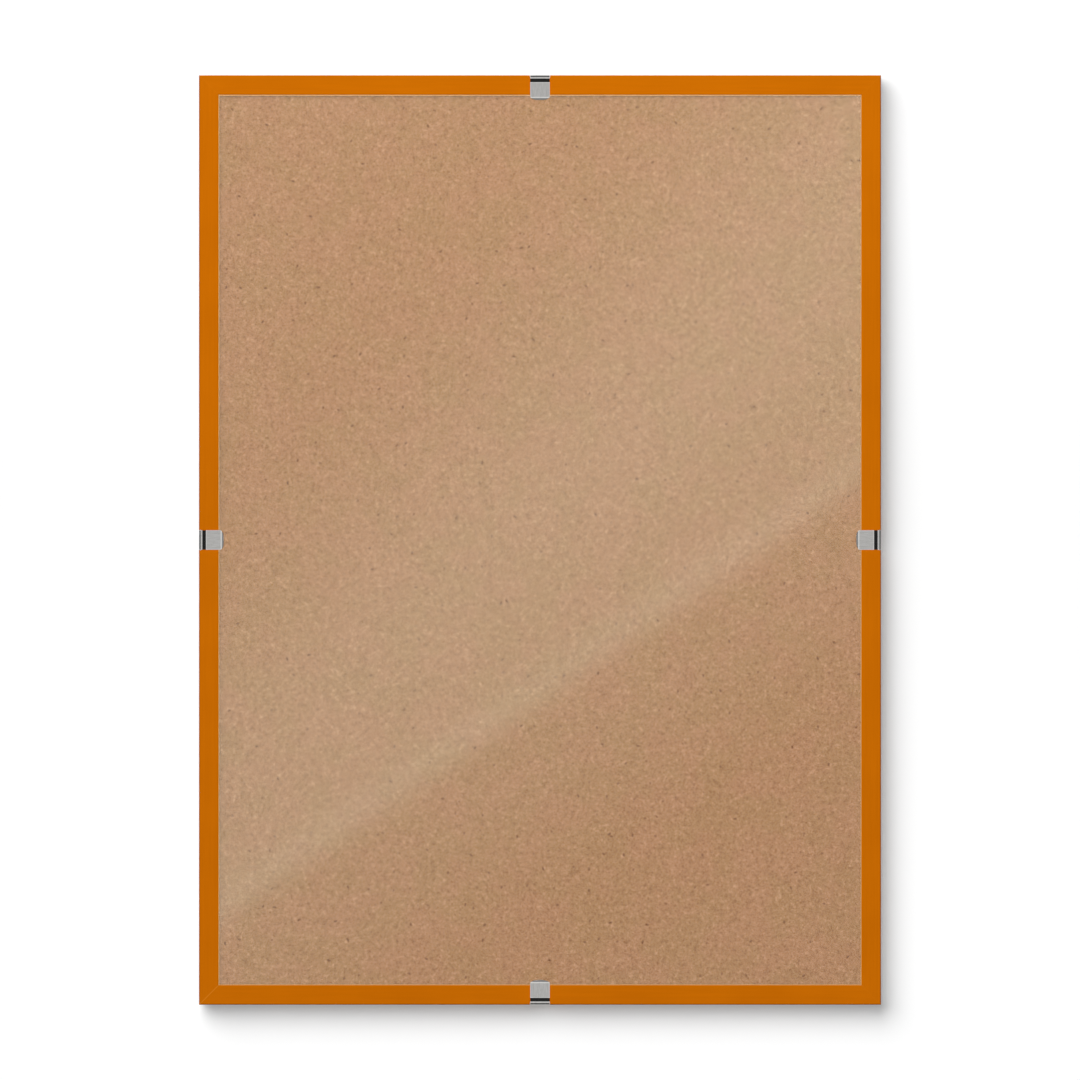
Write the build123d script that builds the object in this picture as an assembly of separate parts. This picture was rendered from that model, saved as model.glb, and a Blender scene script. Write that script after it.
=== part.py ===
from build123d import *
import os
from math import cos, radians, sin, tan

# Clip frame: a mitred rim that takes a glass pane and a fibre board from the front.
# Four spring clips, one at the middle of each side, hook into the back of the rim,
# bend round its outer edge and press on the glass.
# Millimetres. +X is to the right of the viewer, +Z is up, the front looks along -Y.
# The origin is where a wall nail carries the frame: on the wall, under the hanger's middle notch.

# Picture and rim
opening_width = 330.0
opening_height = 457.0
rim_width = 10.0
rim_edge_round = 0.4
ledge_width = 5.0
ledge_thickness = 4.3

# Board and glass, which fill the rim's pocket
board_thickness = 3.0
glass_thickness = 2.0
glass_proud = 0.4
glass_arris = 0.4
pocket_clearance = 0.2

# Spring clips, bent from flat strip
strip_thickness = 0.6
clip_width = 10.0
clip_grip = 2.9
clip_setback = 0.1
crest_height = 2.35
crest_radius = 0.9
slope_angle = 32.0
heel_radius = 2.0
tip_run = 1.55
tip_angle = 20.0
tip_bend_radius = 4.0
tip_bow = 1.6
hook_inner_radius = 0.3
grip_gap = 0.05

# Clip seats, cut into the rails
seat_side_clearance = 0.15
seat_clearance = 0.3
hook_running_clearance = 0.06
groove_wall = 0.9

# Sawtooth hangers and their pins
hanger_length = 45.0
hanger_thickness = 0.8
hanger_lift = 1.4
hanger_tab = 8.0
hanger_ramp = 2.0
hanger_bend_radius = 1.0
hanger_overhang = 0.3
tooth_count = 7
tooth_pitch = 3.0
tooth_depth = 1.7
tooth_flat = 0.4
pin_diameter = 1.2
pin_length = 6.0
pin_head_diameter = 2.8
pin_head_thickness = 0.5
pin_edge_distance = 1.8
pin_pocket_distance = 2.2
pin_hole_clearance = 0.05

# V nails that hold the mitres
v_nail_leg = 4.5
v_nail_thickness = 0.5
v_nail_height = 5.0
v_nail_inset = 5.5

# Wall bumpers
bumper_diameter = 10.0
bumper_height = 3.0
bumper_round = 0.8
bumper_inset = 24.0

# Sizes that follow
outer_width = opening_width + 2 * rim_width
outer_height = opening_height + 2 * rim_width
back_width = rim_width + ledge_width
pocket_depth = board_thickness + glass_thickness - glass_proud
rail_depth = ledge_thickness + pocket_depth
half_strip = strip_thickness / 2
hook_radius = hook_inner_radius + half_strip
hook_outer_radius = hook_inner_radius + strip_thickness
groove_radius = hook_outer_radius + hook_running_clearance
seat_width = clip_width + 2 * seat_side_clearance
notch_depth = clip_setback + strip_thickness + seat_clearance
recess_depth = clip_setback + hook_outer_radius
pivot_inset = notch_depth + groove_wall + groove_radius
pivot_level = recess_depth - rail_depth
hang_drop = back_width + hanger_overhang
pin_inset = rim_width - pin_pocket_distance
hanger_width = hang_drop + tooth_depth - pin_inset + pin_edge_distance
rim_face_y = -(bumper_height + rail_depth)
centre_z = hang_drop - outer_height / 2

# Every piece on a side is drawn in that side's own axes:
# X runs along the rail, Y runs inwards from the outer edge, and Z points forwards from the rim's face.
sides = {
    "top": ((-1, 0, 0), (0, 0, 1), outer_width),
    "bottom": ((1, 0, 0), (0, 0, -1), outer_width),
    "left": ((0, 0, -1), (-1, 0, 0), outer_height),
    "right": ((0, 0, 1), (1, 0, 0), outer_height),
}
across = {"top": outer_height, "bottom": outer_height, "left": outer_width, "right": outer_width}

# A V nail sits at the corner where its side's rail starts, and is pressed into both rails there.
start_corner = {"top": "top_right", "left": "top_left", "bottom": "bottom_left", "right": "bottom_right"}
end_corner = {"top": "top_left", "left": "bottom_left", "bottom": "bottom_right", "right": "top_right"}


def side_plane(side):
    """The axes of one side, with the origin at the middle of its outer front edge."""
    along, outward, _ = sides[side]
    middle = Vector(0, rim_face_y, centre_z) + Vector(outward) * (across[side] / 2)
    return Plane(origin=middle, x_dir=along, z_dir=(0, -1, 0))


def bent_strip(path, start_plane, width, thickness):
    """A flat strip bent along a path that starts square to the given plane."""
    return sweep(start_plane * Rectangle(width, thickness), path=path)


def rail_blank(length):
    """A mitred bar: a rim in front, and a ledge behind that carries the board."""
    outline = Polyline(
        (0, 0),
        (rim_width, 0),
        (rim_width, -pocket_depth),
        (back_width, -pocket_depth),
        (back_width, -rail_depth),
        (0, -rail_depth),
        close=True,
    )
    section = make_face(outline)
    section = fillet(section.vertices().sort_by(Axis.Y)[-2:], rim_edge_round)
    bar = extrude(Plane.YZ * section, amount=length / 2, both=True)
    mitred_plan = Polyline(
        (-length / 2, 0),
        (length / 2, 0),
        (length / 2 - back_width, back_width),
        (back_width - length / 2, back_width),
        close=True,
    )
    return bar & extrude(Pos(0, 0, -rail_depth) * make_face(mitred_plan), amount=rail_depth)


def clip_seat():
    """The space cut into a rail for a clip: a notch in the edge, a recess behind and a round groove."""
    notch = Pos(0, notch_depth / 2, -rail_depth / 2) * Box(seat_width, notch_depth, rail_depth)
    recess_reach = pivot_inset + groove_radius + seat_clearance
    recess_middle = recess_depth / 2 - rail_depth
    recess = Pos(0, recess_reach / 2, recess_middle) * Box(seat_width, recess_reach, recess_depth)
    groove = Pos(0, pivot_inset, pivot_level) * Rot(0, 90, 0) * Cylinder(groove_radius, seat_width)
    return notch + recess + groove


def spring_clip():
    """A strip that hooks into the groove, runs round the edge and arches down to a bowed tongue."""
    web = clip_setback + half_strip
    leg = pivot_level - hook_radius
    tongue = glass_proud + grip_gap + half_strip
    crest_start = crest_height - half_strip - crest_radius
    crest_corner = crest_start + crest_radius * tan(radians(90 + slope_angle) / 2)
    slope_length = (crest_corner - tongue) / sin(radians(slope_angle))
    heel = web + slope_length * cos(radians(slope_angle))
    tip_end = rim_width + clip_grip - half_strip * sin(radians(tip_angle))
    tip_bend = tip_end - tip_run
    hook = ThreePointArc(
        (pivot_inset, pivot_level + hook_radius),
        (pivot_inset + hook_radius, pivot_level),
        (pivot_inset, leg),
    )
    strip_line = FilletPolyline(
        (pivot_inset, leg),
        (web, leg),
        (web, crest_corner),
        (heel, tongue),
        (tip_bend, tongue),
        (tip_end, tongue + tip_run * tan(radians(tip_angle))),
        radius=[hook_radius, crest_radius, heel_radius, tip_bend_radius],
    )
    path = Wire((Plane.YZ * hook).edges() + (Plane.YZ * strip_line).edges())
    start = Plane(origin=(0, pivot_inset, pivot_level + hook_radius), x_dir=(1, 0, 0), z_dir=(0, 1, 0))
    strip = bent_strip(path, start, clip_width, strip_thickness)
    reach = rim_width + clip_grip
    half_width = clip_width / 2
    shoulder = reach - tip_bow
    straight = Polyline((half_width, shoulder), (half_width, 0), (-half_width, 0), (-half_width, shoulder))
    bowed = ThreePointArc((-half_width, shoulder), (0, reach), (half_width, shoulder))
    plan = make_face(straight.edges() + bowed.edges())
    plan_depth = rail_depth + crest_height + 2 * strip_thickness
    return strip & extrude(Pos(0, 0, -rail_depth - strip_thickness) * plan, amount=plan_depth)


def v_nail(length):
    """A thin steel V that crosses the mitre at the start of a rail, flush with the back."""
    near = v_nail_inset - v_nail_thickness / 2
    inner = near + v_nail_thickness
    far = near + v_nail_leg
    outline = Polyline(
        (near, near), (far, near), (far, inner), (inner, inner), (inner, far), (near, far), close=True
    )
    place = Pos(-length / 2, 0, -rail_depth)
    return extrude(place * make_face(outline), amount=v_nail_height)


def pin_place(end):
    """Where a hanger pin goes in: on the rail's back, near one end of the hanger."""
    return Pos(end * (hanger_length - hanger_tab) / 2, pin_inset, -rail_depth)


def sawtooth_hanger():
    """A strip with flat ends and a lifted middle, whose inner edge is toothed to catch a nail."""
    flat = -rail_depth - hanger_thickness / 2
    half = hanger_length / 2
    line = FilletPolyline(
        (-half, flat),
        (hanger_tab - half, flat),
        (hanger_tab + hanger_ramp - half, flat - hanger_lift),
        (half - hanger_tab - hanger_ramp, flat - hanger_lift),
        (half - hanger_tab, flat),
        (half, flat),
        radius=hanger_bend_radius,
    )
    middle_width = hang_drop + tooth_depth - hanger_width / 2
    across_strip = Plane(origin=(0, middle_width, 0), x_dir=(1, 0, 0), z_dir=(0, -1, 0))
    start = Plane(origin=(-half, middle_width, flat), x_dir=(0, 1, 0), z_dir=(1, 0, 0))
    strip = bent_strip(Wire((across_strip * line).edges()), start, hanger_width, hanger_thickness)
    half_mouth = (tooth_pitch - tooth_flat) / 2
    gap = make_face(Polyline((0, 0), (half_mouth, tooth_depth), (-half_mouth, tooth_depth), close=True))
    for number in range(tooth_count):
        along = (number - (tooth_count - 1) / 2) * tooth_pitch
        cut = extrude(Pos(along, hang_drop, -rail_depth) * gap, amount=-(hanger_lift + hanger_thickness))
        strip -= cut
    for end in (-1, 1):
        strip -= pin_place(end) * Cylinder(pin_diameter / 2 + pin_hole_clearance, 2 * hanger_thickness)
    return strip


def hanger_pin():
    """A small nail, drawn about the point where it enters the rail, with its head on the hanger."""
    shank_length = pin_length + hanger_thickness
    shank = Pos(0, 0, pin_length - shank_length / 2) * Cylinder(pin_diameter / 2, shank_length)
    head_middle = -(hanger_thickness + pin_head_thickness / 2)
    head = Pos(0, 0, head_middle) * Cylinder(pin_head_diameter / 2, pin_head_thickness)
    head = chamfer(head.edges().group_by(Axis.Z)[0], pin_head_thickness / 2)
    return shank + head


def pin_hole():
    """The hole that a hanger pin makes in the rail."""
    return Pos(0, 0, pin_length / 2) * Cylinder(pin_diameter / 2 + pin_hole_clearance, pin_length)


def wall_bumper():
    """A rubber disc with a rounded rim, stuck to the back of a rail."""
    disc = Pos(0, 0, -bumper_height / 2) * Cylinder(bumper_diameter / 2, bumper_height)
    return fillet(disc.edges().group_by(Axis.Z)[0], bumper_round)


def sheet(width, height, thickness, back_level):
    """A rectangular sheet in the pocket; levels are measured forwards from the rim's face."""
    place = Pos(0, rim_face_y - back_level - thickness / 2, centre_z)
    return place * Box(width, thickness, height)


nodes = {}

# Clips and V nails
v_nails = {}
for side, (_, _, length) in sides.items():
    nodes["clip_" + side] = side_plane(side) * spring_clip()
    v_nails[start_corner[side]] = side_plane(side) * v_nail(length)
for corner, nail in v_nails.items():
    nodes["v_nail_" + corner] = nail

# Hangers with their pins, on the top rail and on one side rail
hanger_sides = ("top", "left")
for side in hanger_sides:
    nodes["hanger_" + side] = side_plane(side) * sawtooth_hanger()
    for number, end in enumerate((-1, 1), start=1):
        nodes[f"hanger_pin_{side}_{number}"] = side_plane(side) * pin_place(end) * hanger_pin()

# Rails, cut for what is pressed or hooked into them
for side, (_, _, length) in sides.items():
    blank = rail_blank(length) - clip_seat()
    if side in hanger_sides:
        for end in (-1, 1):
            blank -= pin_place(end) * pin_hole()
    rail = side_plane(side) * blank
    nodes["rail_" + side] = rail - v_nails[start_corner[side]] - v_nails[end_corner[side]]

# Board and glass
sheet_width = opening_width - 2 * pocket_clearance
sheet_height = opening_height - 2 * pocket_clearance
nodes["back_board"] = sheet(sheet_width, sheet_height, board_thickness, -pocket_depth)
pane = sheet(sheet_width, sheet_height, glass_thickness, board_thickness - pocket_depth)
nodes["glass_pane"] = chamfer(pane.edges().group_by(Axis.Y)[0], glass_arris)

# Bumpers on the top and bottom rails
bumper_ends = {"top": ("right", "left"), "bottom": ("left", "right")}
for side, ends in bumper_ends.items():
    for end, sign in zip(ends, (-1, 1)):
        place = Pos(sign * (outer_width / 2 - bumper_inset), back_width / 2, -rail_depth)
        nodes[f"bumper_{side}_{end}"] = side_plane(side) * place * wall_bumper()

os.makedirs("parts", exist_ok=True)
for name, shape in nodes.items():
    export_step(shape, f"parts/{name}.step")
    print(name, round(shape.volume, 2))
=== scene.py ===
# %% [markdown]
# This lesson dresses a clip frame that was drawn as solids: a painted wooden rim, a glass pane on a
# fibre board, and four sprung steel clips. The solids are loaded first and stay where they are. Every
# piece made here is in metres and in the same axes: +X to the right, +Z up, the front looks along -Y.

import math

import bmesh
import bpy
from mathutils import Matrix, Vector


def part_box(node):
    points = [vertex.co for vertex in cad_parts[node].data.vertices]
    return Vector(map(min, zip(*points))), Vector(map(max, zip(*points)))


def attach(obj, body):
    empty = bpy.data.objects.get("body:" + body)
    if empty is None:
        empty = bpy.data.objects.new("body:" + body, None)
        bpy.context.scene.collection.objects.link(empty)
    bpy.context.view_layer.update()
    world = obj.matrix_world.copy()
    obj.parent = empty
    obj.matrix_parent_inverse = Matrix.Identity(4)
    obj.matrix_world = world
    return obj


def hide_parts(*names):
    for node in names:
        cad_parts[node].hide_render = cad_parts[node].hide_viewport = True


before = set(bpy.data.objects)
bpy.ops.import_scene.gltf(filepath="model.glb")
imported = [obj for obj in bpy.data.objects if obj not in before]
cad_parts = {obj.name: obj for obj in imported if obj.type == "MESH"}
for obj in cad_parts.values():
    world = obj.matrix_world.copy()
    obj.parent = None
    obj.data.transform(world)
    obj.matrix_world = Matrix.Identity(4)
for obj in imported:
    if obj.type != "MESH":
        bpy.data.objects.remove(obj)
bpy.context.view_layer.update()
mm = 0.001

# %% [markdown]
# Most places follow from a few levels of the solids. The rim's face is the front of a rail, the glass
# stands a little proud of it, and the middle of the frame is the middle of the rim's outline.

# %% Levels and middle of the frame
sides = ("top", "bottom", "left", "right")
rim_low, rim_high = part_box("rail_left")[0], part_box("rail_right")[1]
middle = (rim_low + rim_high) / 2
half_width, half_height = (rim_high.x - rim_low.x) / 2, (rim_high.z - rim_low.z) / 2
rim_face, rail_back = rim_low.y, rim_high.y
board_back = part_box("back_board")[1].y
print("rim", round(2 * half_width / mm, 2), "by", round(2 * half_height / mm, 2), "mm")
print("rim face at", round(rim_face / mm, 2), "mm, back of the rails at", round(rail_back / mm, 2), "mm")
print("back of the board at", round(board_back / mm, 2), "mm")

# %% [markdown]
# The frame is seen square from the front. A camera far away with a long lens keeps the rim's sides from
# showing. In an image 1080 pixels wide the rim is 682 pixels wide, and that gives the width of the view.

# %% Camera
image_pixels, rim_pixels = 1080, 682
camera_distance, film_width = 6.0, 36
view_width = image_pixels / rim_pixels * 2 * half_width
lens = bpy.data.cameras.new("camera")
lens.sensor_width = film_width
lens.lens = film_width * camera_distance / view_width
camera = bpy.data.objects.new("camera", lens)
camera.location = (middle.x, rim_face - camera_distance, middle.z)
camera.rotation_euler = (math.radians(90), 0, 0)
bpy.context.collection.objects.link(camera)
bpy.context.scene.camera = camera
bpy.context.scene.view_settings.view_transform = "Standard"
print("lens", round(lens.lens, 1), "mm, view", round(view_width / mm, 1), "mm wide")

# %% [markdown]
# Finishes are written as sums. A Tap holds a node tree and one output of a node in it, and each sum of
# Taps and numbers adds a Math node. Every other node comes from one method: its type, its settings, then
# what goes into its sockets. That reads like the recipe of a finish, where wiring by hand hides it.

# %% Taps, for writing finishes as sums
class Tap:
    """A node tree, and one output of a node in it that can stand in a sum."""

    def __init__(self, tree, socket=None):
        self.tree, self.socket = tree, socket

    def node(self, kind, settings=None, inputs=None, output=0):
        made = self.tree.nodes.new(kind)
        for name, value in (settings or {}).items():
            if name == "stops":
                stops = made.color_ramp.elements
                while len(stops) < len(value):
                    stops.new(0.5)
                for stop, (place, level) in zip(stops, value):
                    stop.position, stop.color = place, (level, level, level, 1)
            else:
                setattr(made, name, value)
        for name, value in (inputs or {}).items():
            if isinstance(value, Tap):
                self.tree.links.new(value.socket, made.inputs[name])
            else:
                made.inputs[name].default_value = value
        return Tap(self.tree, made.outputs[output] if len(made.outputs) else None)

    def also(self, output):
        """Another output of the same node."""
        return Tap(self.tree, self.socket.node.outputs[output])

    def sum(self, operation, *values):
        return self.node("ShaderNodeMath", {"operation": operation}, dict(enumerate(values)))

    def __add__(self, other):
        return self.sum("ADD", self, other)

    def __radd__(self, other):
        return self.sum("ADD", other, self)

    def __sub__(self, other):
        return self.sum("SUBTRACT", self, other)

    def __rsub__(self, other):
        return self.sum("SUBTRACT", other, self)

    def __mul__(self, other):
        return self.sum("MULTIPLY", self, other)

    def __rmul__(self, other):
        return self.sum("MULTIPLY", other, self)

    def __truediv__(self, other):
        return self.sum("DIVIDE", self, other)

    def __abs__(self):
        return self.sum("ABSOLUTE", self)


# %% [markdown]
# A few helpers name what every finish does: read a place on the piece, soften a threshold, make cloudy
# noise stretched one way, lay one colour over another, and raise small bumps.

# %% Helpers for finishes
def place_on(tap, stretch=(1, 1, 1)):
    """Object coordinates in metres, stretched for a pattern with a direction."""
    spot = tap.node("ShaderNodeTexCoord", output="Object")
    return tap.node("ShaderNodeMapping", None, {"Vector": spot, "Scale": stretch})


def coordinates(spot):
    """The three coordinates of a place."""
    x = spot.node("ShaderNodeSeparateXYZ", None, {0: spot})
    return x, x.also(1), x.also(2)


def step(value, low, high, first=0.0, last=1.0):
    """A soft threshold: first below low, last above high."""
    ends = {"From Min": low, "From Max": high, "To Min": first, "To Max": last}
    return value.node("ShaderNodeMapRange", {"interpolation_type": "SMOOTHSTEP"}, {"Value": value, **ends})


def cloud(spot, per_metre, detail=2.0, roughness=0.5):
    """Cloudy noise between 0 and 1, with so many lumps to the metre."""
    inputs = {"Vector": spot, "Scale": per_metre, "Detail": detail, "Roughness": roughness}
    return spot.node("ShaderNodeTexNoise", None, inputs)


def over(amount, under, upper):
    """One colour laid over another by an amount."""
    tap = next(t for t in (amount, under, upper) if isinstance(t, Tap))
    return tap.node("ShaderNodeMix", {"data_type": "RGBA"}, {0: amount, 6: under, 7: upper}, 2)


def bumps(height, depth):
    """Small bumps of a height between 0 and 1, times a depth in metres."""
    return height.node("ShaderNodeBump", None, {"Strength": 1.0, "Distance": depth, "Height": height})


def new_finish(name):
    """An empty material, and the Tap to write it with."""
    material = bpy.data.materials.new(name)
    material.use_nodes = True
    material.node_tree.nodes.clear()
    return material, Tap(material.node_tree)


def coat(tap, **sockets):
    """The main shader on the surface. An underscore in a socket's name stands for a space."""
    inputs = {name.replace("_", " "): value for name, value in sockets.items()}
    shader = tap.node("ShaderNodeBsdfPrincipled", None, inputs)
    tap.node("ShaderNodeOutputMaterial", None, {"Surface": shader})


# %% [markdown]
# The rim is a narrow wooden bar with an even satin orange paint. Up close such paint shows a hairline at
# each mitre. Along the outer edges of the sides and the bottom, which face away from the light above, a
# painted shade makes it a little darker. An image of paint would have to be wrapped round each bar.
# Distances from the edge and from the mitre need no wrapping, and one recipe then serves all four rails.

# %% Orange paint
def orange_paint(shade, x, y, z, from_side, from_mitre):
    """Paint of two close shades, a painted shade along the outer edges of the sides and the bottom, and a
    hairline at the mitres.
    """
    paint = over(step(shade, 0.3, 0.7), (0.540, 0.1335, 0.0, 1), (0.582, 0.147, 0.0003, 1))
    # Painted shade: near the face, the outer edges of the sides and the bottom are darkened where less light
    # falls.
    from_shaded_edge = from_side.sum("MINIMUM", from_side, z - rim_low.z)
    near_face = step(y, rim_face + 0.4 * mm, rim_face + 1.2 * mm, 1, 0)
    edge_shade = step(from_shaded_edge, 0.1 * mm, 0.9 * mm, 1, 0) * near_face
    paint = over(0.75 * edge_shade, paint, (0.30, 0.078, 0.0, 1))
    hairline = 1 - step(from_mitre, 0.08 * mm, 0.45 * mm)
    at_left = step(x, middle.x - 10 * mm, middle.x + 10 * mm, 1, 0)
    at_bottom = step(z, middle.z - 10 * mm, middle.z + 10 * mm, 1, 0)
    return over(hairline * (0.08 + 0.62 * at_left * at_bottom), paint, (0.68, 0.23, 0.02, 1))


# %% [markdown]
# The paint stops on the back, where the bar is bare wood. Its growth rings and fibres are noise of two
# sizes, stretched along the bar, and the joint at the mitre is a dark line.

# %% Bare wood
def bare_wood(rings, fibres, from_mitre):
    """Pale wood with rings and dark fibres, and a dark joint at the mitres."""
    wood = over(step(rings, 0.35, 0.62), (0.61, 0.42, 0.235, 1), (0.50, 0.315, 0.155, 1))
    wood = over(0.45 * step(fibres, 0.5, 0.72), wood, (0.36, 0.20, 0.09, 1))
    joint = step(from_mitre, 0.04 * mm, 0.3 * mm, 1, 0)
    return over(0.75 * joint, wood, (0.14, 0.075, 0.03, 1))


# %% [markdown]
# One finish joins the two. Overspray leaves a ragged edge of paint on the back, and the bumps are a faint
# orange-peel skin on the paint and open fibres on the wood. Only the direction of the grain differs
# between the rails. Dull surfaces don't see the rails, so that no orange is thrown on the white wall.

# %% Rim finish
grain_stretch = 0.035


def rim_finish(name, stretch):
    material, tap = new_finish(name)
    spot, grain_spot = place_on(tap), place_on(tap, stretch)
    x, y, z = coordinates(spot)
    from_side = half_width - abs(x - middle.x)
    from_end = half_height - abs(z - middle.z)
    from_edge = from_side.sum("MINIMUM", from_side, from_end)
    from_mitre = abs(from_side - from_end)
    fibres = cloud(grain_spot, 900, 3, 0.6)
    shade = 0.5 * cloud(spot, 35) + 0.5 * fibres
    paint = orange_paint(shade, x, y, z, from_side, from_mitre)
    wood = bare_wood(cloud(grain_spot, 160, 3, 0.55), fibres, from_mitre)
    ragged_edge = from_edge + 1.6 * mm * (cloud(spot, 260, 4) - 0.5)
    bare = step(y, board_back - 0.2 * mm, board_back) * step(ragged_edge, 0.7 * mm, 1.9 * mm)
    skin = (1 - bare) * (0.7 * cloud(spot, 620, 1) + 0.3 * fibres) + 1.6 * bare * fibres
    rough = 0.36 + 0.1 * shade + 0.28 * bare
    normal = bumps(skin, 0.03 * mm)
    coat(tap, Base_Color=over(bare, paint, wood), Roughness=rough, Specular_IOR_Level=0.03, Normal=normal)
    return material


paint_along_x = rim_finish("rim_paint_along_x", (grain_stretch, 1, 1))
paint_along_z = rim_finish("rim_paint_along_z", (1, 1, grain_stretch))
for side in sides:
    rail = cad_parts["rail_" + side]
    rail.material_slots[0].material = paint_along_x if side in ("top", "bottom") else paint_along_z
    rail.visible_diffuse = False
print("rim paint nodes", len(paint_along_x.node_tree.nodes))

# %% [markdown]
# The board behind the glass is pressed wood fibre. Its face is tan with a fine mottle, a slow drift
# between pinkish and olive, and short fibres and bark flecks, dark and light, that lie every way. Noise
# alone gives no separate flecks, so the face is divided into random cells, each cell gives its fleck a
# place, a turn and a length, and a share of the cells stay empty.

# %% Fibre flecks
def flecks(spot, per_metre, length, width, share):
    """Short fibres, one to a cell of a random division, in a share of the cells."""
    cells = {"Vector": spot, "Scale": per_metre, "Randomness": 1.0}
    chance = spot.node("ShaderNodeTexVoronoi", {"voronoi_dimensions": "2D"}, cells, "Color")
    away = spot.node("ShaderNodeVectorMath", {"operation": "SUBTRACT"}, {0: spot, 1: chance.also("Position")})
    turn = spot.node("ShaderNodeSeparateColor", None, {0: chance})
    kept, size = step(turn.also(1), 1 - share, 1.001 - share), turn.also(2)
    turned = {"Vector": away, "Center": (0, 0, 0), "Angle": 2 * math.pi * turn}
    along, across, _ = coordinates(spot.node("ShaderNodeVectorRotate", {"rotation_type": "Z_AXIS"}, turned))
    along, across = along / (length * (0.35 + 0.65 * size)), across / width
    return kept * (0.4 + 0.6 * size) * step(along * along + across * across, 0.35, 1.3, 1, 0)


# %% [markdown]
# The smooth face of such board is the one under the glass. The other face keeps the print of the wire
# screen that the wet fibre was pressed on, a fine square mesh, and is a little darker.

# %% Fibre board
screen_pitch = 1.1 * mm


def board_finish():
    material, tap = new_finish("fibre_board")
    spot = place_on(tap)
    x, y, z = coordinates(spot)
    face = tap.node("ShaderNodeCombineXYZ", None, {0: x, 1: z})
    grain = 0.5 * cloud(spot, 520, 2, 0.5) + 0.5 * cloud(spot, 1100, 1, 0.5)
    drift = cloud(spot, 55, 3, 0.6)
    tan = over(step(drift, 0.35, 0.65), (0.440, 0.204, 0.082, 1), (0.411, 0.204, 0.071, 1))
    tan = over(step(grain, 0.22, 0.51, 0.9, 0), tan, (0.250, 0.090, 0.012, 1))
    tan = over(step(grain, 0.49, 0.78, 0, 0.78), tan, (0.665, 0.370, 0.205, 1))
    light = flecks(face, 240, 0.9 * mm, 0.24 * mm, 0.3)
    fine = flecks(face, 420, 0.6 * mm, 0.30 * mm, 0.5)
    bark = flecks(face, 110, 1.1 * mm, 0.55 * mm, 0.35)
    tan = over(0.2 * light, tan, (0.66, 0.40, 0.22, 1))
    tan = over(0.7 * fine, tan, (0.240, 0.090, 0.022, 1))
    tan = over(0.95 * bark, tan, (0.180, 0.048, 0.0, 1))
    behind = step(y, board_back - 1.2 * mm, board_back - 0.2 * mm)
    waves = 2 * math.pi / screen_pitch
    wires = x.sum("SINE", x * waves) * z.sum("SINE", z * waves)
    tan = over(behind * (0.35 + 0.2 * wires), tan, (0.21, 0.105, 0.05, 1))
    normal = bumps(0.5 * grain + behind * wires, 0.06 * mm)
    coat(tap, Base_Color=tan, Roughness=0.62 + 0.2 * grain, Specular_IOR_Level=0.1, Normal=normal)
    return material


fibre_board = board_finish()
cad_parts["back_board"].material_slots[0].material = fibre_board
print("fibre board nodes", len(fibre_board.node_tree.nodes))

# %% [markdown]
# New pieces are drawn in millimetres in the axes of their own side of the frame: X along the rail, Y
# inwards from the outer edge, Z forwards from the rim's face. One matrix then puts a piece on its side, so
# the object itself stays at the origin. Each piece takes the place of its solid and rides on its body.

# %% Placing a piece on its side of the frame
def side_axes(side):
    along, inward = {
        "top": ((-1, 0, 0), (0, 0, -1)),
        "bottom": ((1, 0, 0), (0, 0, 1)),
        "left": ((0, 0, -1), (1, 0, 0)),
        "right": ((0, 0, 1), (-1, 0, 0)),
    }[side]
    reach = half_height if side in ("top", "bottom") else half_width
    axes = Matrix((along, inward, (0, -1, 0))).transposed().to_4x4()
    axes.translation = Vector((middle.x, rim_face, middle.z)) - reach * Vector(inward)
    return axes @ Matrix.Scale(mm, 4)


def new_piece(name, bm, axes, finishes, body, node):
    """Place a shape, give it its finishes, and let it stand for a solid."""
    bm.transform(axes)
    mesh = bpy.data.meshes.new(name)
    bm.to_mesh(mesh)
    bm.free()
    for material in finishes:
        mesh.materials.append(material)
    made = bpy.data.objects.new(name, mesh)
    bpy.context.collection.objects.link(made)
    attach(made, body)
    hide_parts(node)
    return made


# %% [markdown]
# The pane is plain float glass, 2 mm thick, lying on the board. Its sharp edges were ground off, and that
# narrow ground strip round the front is what shows as a pale line along the rim. The front of a box is
# inset and pushed forwards to leave that strip, and the strip gets the ground finish. The box is a hair
# wider than the solid, which closes the gap to the rim, and a hair off the board. Lamp light passes
# straight through the pane to the board, so it casts no shadow.

# %% Glass pane
clear_glass, tap = new_finish("clear_glass")
coat(tap, Base_Color=(0.985, 0.995, 0.990, 1), Roughness=0.0, IOR=1.5, Transmission_Weight=1.0)

ground_glass, tap = new_finish("ground_glass_edge")
dust = cloud(place_on(tap), 1500, 3)
ground = over(dust, (0.72, 0.37, 0.11, 1), (0.84, 0.46, 0.17, 1))
coat(tap, Base_Color=ground, Roughness=0.45 + 0.2 * dust, Specular_IOR_Level=0.4)

pane_low, pane_high = (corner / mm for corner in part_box("glass_pane"))
arris_width, arris_depth, snug, lift = 0.55, 0.12, 0.16, 0.03
bm = bmesh.new()
bmesh.ops.create_cube(bm, size=1)
size = pane_high - pane_low
centre = (pane_low + pane_high) / 2 + Vector((0, (arris_depth - lift) / 2, 0))
bmesh.ops.scale(bm, vec=(size.x + 2 * snug, size.y - arris_depth - lift, size.z + 2 * snug), verts=bm.verts)
bmesh.ops.translate(bm, vec=centre, verts=bm.verts)
front = [face for face in bm.faces if face.normal.y < -0.9]
strip = bmesh.ops.inset_region(bm, faces=front, thickness=arris_width, depth=arris_depth)["faces"]
bm.normal_update()
for face in bm.faces:
    face.material_index = 1 if face in strip or abs(face.normal.y) < 0.5 else 0
finishes = [clear_glass, ground_glass]
pane = new_piece("pane", bm, Matrix.Scale(mm, 4), finishes, "frame", "glass_pane")
pane.visible_shadow = pane.visible_diffuse = False
print("pane faces", len(pane.data.polygons), "ground strips", len(strip))

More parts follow.
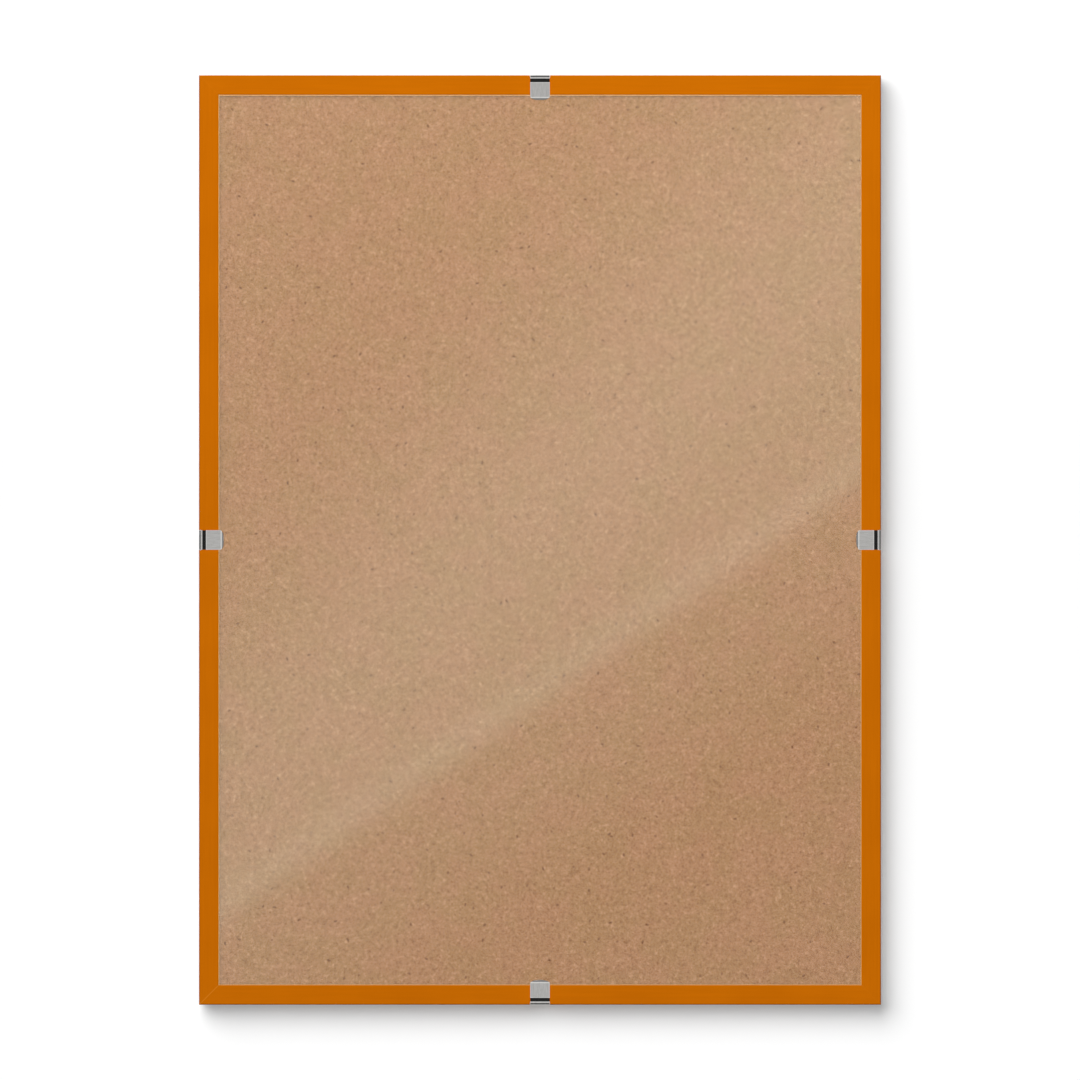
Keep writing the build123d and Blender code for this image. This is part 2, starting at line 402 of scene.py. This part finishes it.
# %% [markdown]
# A clip is a strip of spring steel, bent by a press: a hook that sits in the groove, a leg, a web up the
# rim's edge, a crest, a slope, a flat tongue on the glass and a turned-up tip. Sweeping a section along a
# curve would do, but a blank folded row by row is how the real one is made, and it keeps the rolling lines
# of the steel running along the strip, because the blank's flat places become its texture map.

# %% Blank and folds of a bent strip
def fold_rows(runs):
    """Length of a blank, and the place and turn of every fold. A run is straight, or a bend."""
    place, rows = 0.0, []
    for run in runs:
        if isinstance(run, float):
            place += run
            continue
        radius, angle, steps = run
        turn = math.radians(angle) / steps
        chord = 2 * radius * math.sin(abs(turn) / 2)
        for number in range(steps + 1):
            rows.append((place + number * chord, turn if 0 < number < steps else turn / 2))
        place += steps * chord
    return place, rows


def strip_blank(width, length):
    """A flat strip along Y from 0."""
    bm = bmesh.new()
    bmesh.ops.create_grid(bm, x_segments=1, y_segments=1, size=0.5)
    bmesh.ops.scale(bm, vec=(width, length, 1), verts=bm.verts)
    bmesh.ops.translate(bm, vec=(0, length / 2, 0), verts=bm.verts)
    return bm


def divide(bm, places):
    """Cut a flat strip across at each place."""
    for place in places:
        everything = bm.verts[:] + bm.edges[:] + bm.faces[:]
        bmesh.ops.bisect_plane(bm, geom=everything, dist=1e-4, plane_co=(0, place, 0), plane_no=(0, 1, 0))


def fold(bm, rows, width):
    """Keep the flat places as a texture map, then turn everything beyond each row about that row."""
    flat = bm.loops.layers.uv.new("flat")
    for face in bm.faces:
        for loop in face.loops:
            loop[flat].uv = loop.vert.co.x / width + 0.5, loop.vert.co.y / width
    run = bm.verts.layers.float.new("run")
    for vert in bm.verts:
        vert[run] = vert.co.y
    for place, turn in rows:
        row = next(vert.co.copy() for vert in bm.verts if abs(vert[run] - place) < 1e-3)
        beyond = [vert for vert in bm.verts if vert[run] > place + 1e-3]
        bmesh.ops.rotate(bm, verts=beyond, cent=row, matrix=Matrix.Rotation(turn, 3, "X"))


def thicken(piece, thickness, rounding):
    """Give a folded strip its thickness and take the sharpness off its edges."""
    for polygon in piece.data.polygons:
        polygon.use_smooth = True
    wall = piece.modifiers.new("wall", "SOLIDIFY")
    wall.thickness, wall.offset, wall.use_even_offset = thickness * mm, 0, True
    edge = piece.modifiers.new("edge", "BEVEL")
    edge.width, edge.segments, edge.limit_method = rounding * mm, 2, "ANGLE"
    edge.angle_limit, edge.harden_normals = math.radians(50), True


# %% [markdown]
# The clips are plated steel, rolled and tumbled: a soft shine with fine lines along the strip. Both long
# edges are brighter, partly wear and partly a painted highlight. The map of the flat blank gives the lines
# their direction round every bend.

# %% Spring steel
spring_steel, tap = new_finish("spring_steel")
flat = tap.node("ShaderNodeUVMap", {"uv_map": "flat"})
lines = cloud(tap.node("ShaderNodeMapping", None, {"Vector": flat, "Scale": (1, 0.04, 1)}), 38, 4, 0.65)
across, _, _ = coordinates(flat)
to_border = 0.5 - abs(across - 0.5)
wear_and_highlight = step(to_border, 0.015, 0.06, 1, 0)
patches = cloud(place_on(tap), 450, 3)
steel = over(step(lines, 0.35, 0.65), (0.64, 0.63, 0.61, 1), (0.74, 0.73, 0.71, 1))
# Partly wear, partly a painted highlight: a brighter band along both long edges of the strip.
steel = over(0.8 * wear_and_highlight, steel, (0.86, 0.85, 0.83, 1))
steel = over(0.25 * step(patches, 0.55, 0.75), steel, (0.56, 0.55, 0.52, 1))
shine = 0.07 + 0.06 * lines + 0.03 * patches
coat(tap, Base_Color=steel, Metallic=1.0, Roughness=shine, Normal=bumps(lines, 0.004 * mm))

# %% [markdown]
# The folds follow the solid clip from the end of its hook to its tip. Bend radii are to the middle of the
# strip, and a turn is positive when it lifts the strip towards the front. The end of the flat blank is
# bowed before it is folded.

# %% Clips
clip_width, clip_strip, clip_rounding = 10.0, 0.6, 0.07
leg, web, slope, tongue, tip = 1.86, 9.050, 1.622, 6.330, 0.944
hook_bend, crest_bend, toe_bend, tip_bend = 0.6, 0.9, 2.0, 4.0
clip_runs = [
    (hook_bend, -180, 10), leg, (hook_bend, -90, 6), web, (crest_bend, -122, 12), slope,
    (toe_bend, 32, 6), tongue, (tip_bend, 20, 5), tip,
]
hook_end = (0, 2.86, -7.3)
tip_bow, tip_cuts = 1.6, 15
clip_length, clip_rows = fold_rows(clip_runs)
for side in sides:
    bm = strip_blank(clip_width, clip_length)
    end = [edge for edge in bm.edges if all(vert.co.y > clip_length / 2 for vert in edge.verts)]
    bmesh.ops.subdivide_edges(bm, edges=end, cuts=tip_cuts)
    for vert in bm.verts:
        if vert.co.y > clip_length / 2:
            vert.co.y -= tip_bow * (2 * vert.co.x / clip_width) ** 4
    divide(bm, [place for place, _ in clip_rows if place > 0])
    fold(bm, clip_rows, clip_width)
    bmesh.ops.translate(bm, vec=hook_end, verts=bm.verts)
    name = "clip_" + side
    clip = new_piece("bent_" + name, bm, side_axes(side), [spring_steel], name, name)
    thicken(clip, clip_strip, clip_rounding)
print("clip blank", round(clip_length, 2), "mm long with", len(clip_rows), "folds")

# %% [markdown]
# At the back the frame hangs on sawtooth hangers, one on the top rail and one on the left rail, stamped
# from zinc-plated strip. The ends lie flat, the middle is lifted off the rail, and the teeth catch a nail.
# The same blank and folds make it: the teeth are cut in the flat blank by pulling in points of its edge.

# %% Zinc-plated steel
zinc, tap = new_finish("zinc_plate")
spot = place_on(tap)
spangle = tap.node("ShaderNodeTexVoronoi", None, {"Vector": spot, "Scale": 900, "Randomness": 1.0}, "Color")
spangle = tap.node("ShaderNodeSeparateColor", None, {0: spangle})
film = cloud(spot, 140, 3)
plate = over(spangle, (0.56, 0.55, 0.52, 1), (0.68, 0.68, 0.67, 1))
plate = over(0.45 * step(film, 0.4, 0.7), plate, (0.60, 0.52, 0.36, 1))
normal = bumps(film, 0.02 * mm)
coat(tap, Base_Color=plate, Metallic=1.0, Roughness=0.3 + 0.12 * spangle + 0.1 * film, Normal=normal)

# %% [markdown]
# A hanger's blank is the same from both ends: a foot, a ramp and half of a bridge. The roots of the teeth
# are points of its edge that are pulled in. After folding, the strip is turned to lie along the rail, with
# its feet flat on the back of the rail.

# %% Hangers
hanger_sides = ("top", "left")
rail_depth = (rail_back - rim_face) / mm
hanger_across, hanger_strip, hanger_rounding = 11.0, 0.8, 0.08
foot, rise, bridge = 7.685, 1.811, 24.369
ramp = [(1.0, -35, 5), rise, (1.0, 35, 5)]
hanger_length, hanger_rows = fold_rows([foot, *ramp, bridge, *reversed(ramp), foot])
hanger_place = (-22.5, 11.5, -rail_depth - hanger_strip / 2)
teeth, tooth_pitch, tooth_depth, tooth_half = 7, 3.0, 1.7, 1.3
tooth_roots = [hanger_length / 2 + (number - teeth // 2) * tooth_pitch for number in range(teeth)]
tooth_mouths = sorted(root + way * tooth_half for root in tooth_roots for way in (-1, 1))
for side in hanger_sides:
    bm = strip_blank(hanger_across, hanger_length)
    divide(bm, [place for place, _ in hanger_rows] + tooth_roots + tooth_mouths)
    edge = [vert for vert in bm.verts if vert.co.x < 0]
    roots = [vert for vert in edge if min(abs(vert.co.y - root) for root in tooth_roots) < 1e-3]
    bmesh.ops.translate(bm, vec=(tooth_depth, 0, 0), verts=roots)
    fold(bm, hanger_rows, hanger_across)
    bmesh.ops.rotate(bm, verts=bm.verts, cent=(0, 0, 0), matrix=Matrix.Rotation(math.radians(-90), 3, "Z"))
    bmesh.ops.translate(bm, vec=hanger_place, verts=bm.verts)
    name = "hanger_" + side
    hanger = new_piece("toothed_" + name, bm, side_axes(side), [zinc], "frame", name)
    thicken(hanger, hanger_strip, hanger_rounding)
print("hanger blank", round(hanger_length, 2), "mm long, teeth", len(tooth_roots))

# %% [markdown]
# A pin's head and a rubber bumper are turned shapes. A bevelled cylinder would come near, but a profile
# of a few points, spun round its axis, also gives the domed head and the dished face. The corners of the
# profile are rounded after the spin.

# %% Turned shapes
def turned(profile, rounding, steps=40):
    """Spin a profile of radius and height round Z and round its corners."""
    bm = bmesh.new()
    points = [bm.verts.new((radius, 0, height)) for radius, height in profile]
    lines = [bm.edges.new(pair) for pair in zip(points, points[1:])]
    bmesh.ops.spin(bm, geom=points + lines, cent=(0, 0, 0), axis=(0, 0, 1), angle=2 * math.pi,
                   steps=steps, use_merge=True, use_duplicate=False)
    bmesh.ops.remove_doubles(bm, verts=bm.verts, dist=1e-4)
    bmesh.ops.recalc_face_normals(bm, faces=bm.faces)
    creases = [e for e in bm.edges if e.is_manifold and e.calc_face_angle() > math.radians(25)]
    bmesh.ops.bevel(bm, geom=creases, offset=rounding, offset_type="OFFSET", segments=3,
                    profile=0.5, material=-1, affect="EDGES")
    for face in bm.faces:
        face.smooth = True
    return bm


# %% [markdown]
# Two bright steel pins hold each hanger. Only the low domed heads show, and fine noise in their colour and
# roughness stands for the marks of the hammer.

# %% Pins
pin_steel, tap = new_finish("pin_steel")
marks = cloud(place_on(tap), 2600, 3)
bright = over(marks, (0.42, 0.40, 0.37, 1), (0.60, 0.58, 0.54, 1))
coat(tap, Base_Color=bright, Metallic=1.0, Roughness=0.25 + 0.2 * marks, Normal=bumps(marks, 0.01 * mm))

pin_profile = [
    (0, -1.30), (0.7, -1.27), (1.25, -1.10), (1.4, -0.95), (1.4, -0.81), (0.6, -0.81), (0.6, 6), (0, 6),
]
pin_aside, pin_inset, pin_rounding = 18.5, 7.8, 0.05
for side in hanger_sides:
    for number, way in enumerate((-1, 1), start=1):
        bm = turned(pin_profile, pin_rounding)
        bmesh.ops.translate(bm, vec=(way * pin_aside, pin_inset, -rail_depth), verts=bm.verts)
        name = f"hanger_pin_{side}_{number}"
        pin = new_piece("headed_" + name, bm, side_axes(side), [pin_steel], "frame", name)
print("faces of a pin", len(pin.data.polygons))

# %% [markdown]
# Rubber bumpers near the back corners keep the frame off the wall. They are matt black with a greyish
# bloom, and the face that rests on the wall is dished, so that it grips.

# %% Bumpers
rubber, tap = new_finish("bumper_rubber")
bloom = cloud(place_on(tap), 500, 4, 0.6)
black = over(step(bloom, 0.45, 0.75), (0.028, 0.028, 0.029, 1), (0.062, 0.060, 0.057, 1))
normal = bumps(bloom, 0.03 * mm)
coat(tap, Base_Color=black, Roughness=0.68 + 0.2 * bloom, Specular_IOR_Level=0.35, Normal=normal)

bumper_profile = [
    (0, -2.85), (2.6, -2.85), (3.1, -3.0), (4.6, -3.0), (5.0, -2.6), (5.0, -0.4), (4.85, 0), (0, 0),
]
bumper_from_end, bumper_inset, bumper_rounding = 24.0, 7.5, 0.25
bumper_aside = half_width / mm - bumper_from_end
for side, ends in (("top", ("right", "left")), ("bottom", ("left", "right"))):
    for end, way in zip(ends, (-1, 1)):
        bm = turned(bumper_profile, bumper_rounding)
        bmesh.ops.translate(bm, vec=(way * bumper_aside, bumper_inset, -rail_depth), verts=bm.verts)
        name = f"bumper_{side}_{end}"
        bumper = new_piece("soft_" + name, bm, side_axes(side), [rubber], "frame", name)
print("faces of a bumper", len(bumper.data.polygons))

# %% [markdown]
# V nails are pressed into the back of the mitres, flush with the wood, and only an edge shows. Their
# solids show that already, so they stay and get an oiled steel finish.

# %% V nails
oiled, tap = new_finish("oiled_steel")
smear = cloud(place_on(tap), 900, 4, 0.6)
dark = over(smear, (0.12, 0.12, 0.135, 1), (0.30, 0.28, 0.26, 1))
coat(tap, Base_Color=dark, Metallic=1.0, Roughness=0.32 + 0.25 * smear, Normal=bumps(smear, 0.01 * mm))
v_nails = [node for name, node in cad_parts.items() if name.startswith("v_nail")]
for v_nail in v_nails:
    v_nail.material_slots[0].material = oiled
print("V nails", len(v_nails))

# %% [markdown]
# The frame hangs on a white wall, over a plain pale floor that the front view doesn't reach. From behind
# both are clear, so that the back of the frame can be looked at too. A little light of their own, none at
# the top and more far below, makes them white where no shadow falls.

# %% White for the wall and the floor
def grey(level):
    return (level, level, level, 1)


def stage_white(name):
    """White paint with a little light of its own, less towards the top, where the lamps are nearer."""
    material, tap = new_finish(name)
    spot = place_on(tap)
    _, _, z = coordinates(spot)
    up = z - middle.z
    low = over(step(up, -0.9, -0.35), grey(0.45), grey(0.105))
    faint = over(step(up, -0.30, 0.15), low, grey(0))
    pale = over(cloud(spot, 6, 2), grey(0.98), grey(1))
    matt = tap.node("ShaderNodeBsdfDiffuse", None, {"Color": pale})
    glow = tap.node("ShaderNodeEmission", None, {"Color": faint, "Strength": 1.0})
    lit = tap.node("ShaderNodeAddShader", None, {0: matt, 1: glow})
    behind = tap.node("ShaderNodeNewGeometry", output="Backfacing")
    clear = tap.node("ShaderNodeBsdfTransparent")
    shader = tap.node("ShaderNodeMixShader", None, {0: behind, 1: lit, 2: clear})
    tap.node("ShaderNodeOutputMaterial", None, {"Surface": shader})
    return material


# %% [markdown]
# A stage sheet is one flat face. Only the camera sees the wall and the floor: they receive light and
# shadow and throw none back on the frame, which keeps its light easy to set.

# %% Wall and floor
def stage_sheet(name, size, turn, place, material):
    bm = bmesh.new()
    bmesh.ops.create_grid(bm, x_segments=1, y_segments=1, size=0.5)
    bmesh.ops.scale(bm, vec=(size[0], size[1], 1), verts=bm.verts)
    bmesh.ops.rotate(bm, verts=bm.verts, cent=(0, 0, 0), matrix=Matrix.Rotation(turn, 3, "X"))
    bmesh.ops.translate(bm, vec=place, verts=bm.verts)
    mesh = bpy.data.meshes.new(name)
    bm.to_mesh(mesh)
    bm.free()
    mesh.materials.append(material)
    made = bpy.data.objects.new(name, mesh)
    bpy.context.collection.objects.link(made)
    for ray in ("diffuse", "glossy", "transmission", "shadow", "volume_scatter"):
        setattr(made, "visible_" + ray, False)
    return made


wall_size, wall_gap, wall_rise = (5, 4), 0.4 * mm, 0.5
floor_size, floor_ahead, floor_drop = (5, 5), 2.4, 1.5
wall_place = (middle.x, wall_gap, middle.z + wall_rise)
floor_place = (middle.x, -floor_ahead, middle.z - floor_drop)
stage_sheet("wall", wall_size, math.radians(90), wall_place, stage_white("wall_white"))
stage_sheet("floor", floor_size, 0, floor_place, stage_white("floor_white"))
print("wall", round(wall_gap / mm, 2), "mm behind the bumpers, floor", floor_drop, "m below the middle")

# %% [markdown]
# The light is a plain studio: a soft key from the upper left that throws the shadow to the lower right, a
# wide bank above that makes the top a little brighter than the bottom, and two lamps behind for views of
# the back. The clips throw no shadow of the key, because so small a shadow would only blacken the rim
# and the glass beside them.

# %% Lamps
def lamp(name, kind, place, target, **settings):
    light = bpy.data.lights.new(name, kind)
    for key, value in settings.items():
        setattr(light, key, value)
    made = bpy.data.objects.new(name, light)
    made.location = place
    made.rotation_mode = "QUATERNION"
    made.rotation_quaternion = (Vector(target) - Vector(place)).to_track_quat("-Z", "Y")
    bpy.context.collection.objects.link(made)
    made.visible_camera = made.visible_glossy = False
    return made


key_from = middle + Vector((-0.58, -1.0, 0.76)) * 2
key = lamp("key", "SUN", key_from, middle, energy=2.91, angle=math.radians(58))
bank_from = middle + Vector((0, -0.45, 0.6))
bank_size = {"shape": "RECTANGLE", "size": 1.2, "size_y": 0.2}
lamp("bank", "AREA", bank_from, middle, energy=1.65, use_shadow=False, **bank_size)
for way, energy in ((-1, 2.5), (1, 4.5)):
    rear_from = middle + Vector((0.6 * way, 1.6, 0.3 + 0.2 * way))
    lamp("rear", "AREA", rear_from, middle, energy=energy, shape="RECTANGLE", size=0.8, size_y=0.8)
shadeless = bpy.data.collections.new("clips_pass_the_key")
for side in sides:
    shadeless.objects.link(bpy.data.objects["bent_clip_" + side])
for entry in shadeless.collection_objects:
    entry.light_linking.link_state = "EXCLUDE"
key.light_linking.blocker_collection = shadeless

# %% [markdown]
# Metal looks like what it mirrors. The room's ramp runs from straight behind the frame, 0, to straight
# in front of it, 1: a light middle, a brighter ring and dark sides give the clips light tongues and nearly
# black slopes. Dull surfaces get a white half behind the frame, which stands for the bounce of the wall.
# The camera sees the room white, past the wall and through the glass.

# %% Room
world = bpy.data.worlds.new("room")
bpy.context.scene.world = world
world.use_nodes = True
world.node_tree.nodes.clear()
tap = Tap(world.node_tree)
_, towards, _ = coordinates(tap.node("ShaderNodeTexCoord", output="Generated"))
level = [
    (0.0, 0.85), (0.11, 0.85), (0.18, 0.04), (0.79, 0.02), (0.84, 0.05), (0.87, 0.27), (0.894, 0.42),
    (0.93, 0.9), (0.957, 0.9), (0.97, 0.52), (1.0, 0.52),
]
room = tap.node("ShaderNodeValToRGB", {"stops": level}, {0: 0.5 - 0.5 * towards})
path = tap.node("ShaderNodeLightPath", output="Is Camera Ray")
seen = path.sum("MAXIMUM", path, path.also("Is Transmission Ray"))
mirrored = path.also("Is Glossy Ray")
bounce = step(towards, -0.1, 0.1, 0, 0.95) * (1 - mirrored)
room = over(bounce, room, grey(1))
lit = tap.node("ShaderNodeBackground", None, {"Color": room, "Strength": 0.65 + 0.5 * mirrored})
white = tap.node("ShaderNodeBackground", None, {"Color": grey(1), "Strength": 1.0})
shader = tap.node("ShaderNodeMixShader", None, {0: seen, 1: lit, 2: white})
tap.node("ShaderNodeOutputWorld", None, {"Surface": shader})
print("room stops", len(level))

# %% [markdown]
# The glass mirrors a long slanting light with a soft edge. A lamp would do, but its edge would be too
# plain, so a sheet in front of the frame carries a glow that is worked out for every point. It is measured
# in pixels of the front view, square to the slant, so that the band crosses the glass where it should,
# rising to the right.

# %% Slanting glow
card_distance, card_peak = 1.2, 3.0
spread = 1 + card_distance / camera_distance
card_pixel = spread * view_width / image_pixels
slant, band_below = math.radians(34.5), 150
card_glow, tap = new_finish("card_glow")
x, _, z = coordinates(place_on(tap))
right, up = (x - middle.x) / card_pixel, (z - middle.z) / card_pixel + band_below
up_left = up * math.cos(slant) - right * math.sin(slant)

glow_from, band_from, band_to, glow_to = -210, -30, 40, 170
rising = 0.68 * step(up_left, glow_from, band_from) + 0.95 * step(up_left, band_from, band_to)
rising = rising + 0.32 * step(up_left, band_to, glow_to)
crest_place, crest_width = 2, 14
away = (up_left - crest_place) / crest_width
crest = away.sum("EXPONENT", -0.5 * away * away)
fade_from, fade_to = 100, 480
fading = 1 - 0.74 * step(up_left - 0.3 * right, fade_from, fade_to)
glow = (rising + crest) * fading
print("card spread", round(spread, 3), "card pixel", round(card_pixel / mm, 3), "mm")

# %% [markdown]
# Only mirrored rays meet such a sheet, and only the glass is lit by it. It adds its glow to what is behind
# it, so the room still shows in the glass.

# %% Sheets that the glass mirrors
mirrors = bpy.data.collections.new("mirrors")
mirrors.objects.link(pane)


def mirrored_sheet(name, material, size, distance, glow, peak, tint):
    """A sheet that only the glass mirrors. It adds its glow to what is behind it."""
    colour = over(glow / peak, grey(0), tint)
    shine = glow.node("ShaderNodeEmission", None, {"Color": colour, "Strength": peak})
    shader = glow.node("ShaderNodeAddShader", None, {0: shine, 1: glow.node("ShaderNodeBsdfTransparent")})
    glow.node("ShaderNodeOutputMaterial", None, {"Surface": shader})
    place = (middle.x, rim_face - distance, middle.z)
    made = stage_sheet(name, size, math.radians(90), place, material)
    made.visible_glossy, made.visible_camera = True, False
    made.light_linking.receiver_collection = mirrors


card_margin = 10 * mm
card_size = (2 * spread * (half_width - card_margin), 2 * spread * (half_height - card_margin))
mirrored_sheet("card", card_glow, card_size, card_distance, glow, card_peak, (0.72, 1.0, 0.86, 1))
print("card", [round(v, 3) for v in card_size], "m")

# %% [markdown]
# Seen from one side the glass would mirror a dark room and would look as if it weren't there. A sheet far
# to both sides of the camera puts soft slanting streaks on it in those views, and none in the front view.

# %% Streaks for the glass from the sides
streaks_size, streaks_distance, streaks_peak = (5.6, 5.6), 2.0, 1.2
streaks_start, streaks_end, streaks_fade = 0.7, 2.7, 0.4
streaks_glow, tap = new_finish("streaks_glow")
x, _, z = coordinates(place_on(tap))
right, up = x - middle.x, z - middle.z
aside = abs(right)
reach = step(aside, streaks_start, streaks_start + streaks_fade)
reach = reach * step(aside, streaks_end - streaks_fade, streaks_end, 1, 0)
waves = right.sum("SINE", 13.0 * (0.82 * up - 0.57 * right))
glow = streaks_peak * reach * step(waves, 0.0, 0.9)
mirrored_sheet("streaks", streaks_glow, streaks_size, streaks_distance, glow, streaks_peak, grey(1))
print("streaks from", streaks_start, "to", streaks_end, "m to each side")
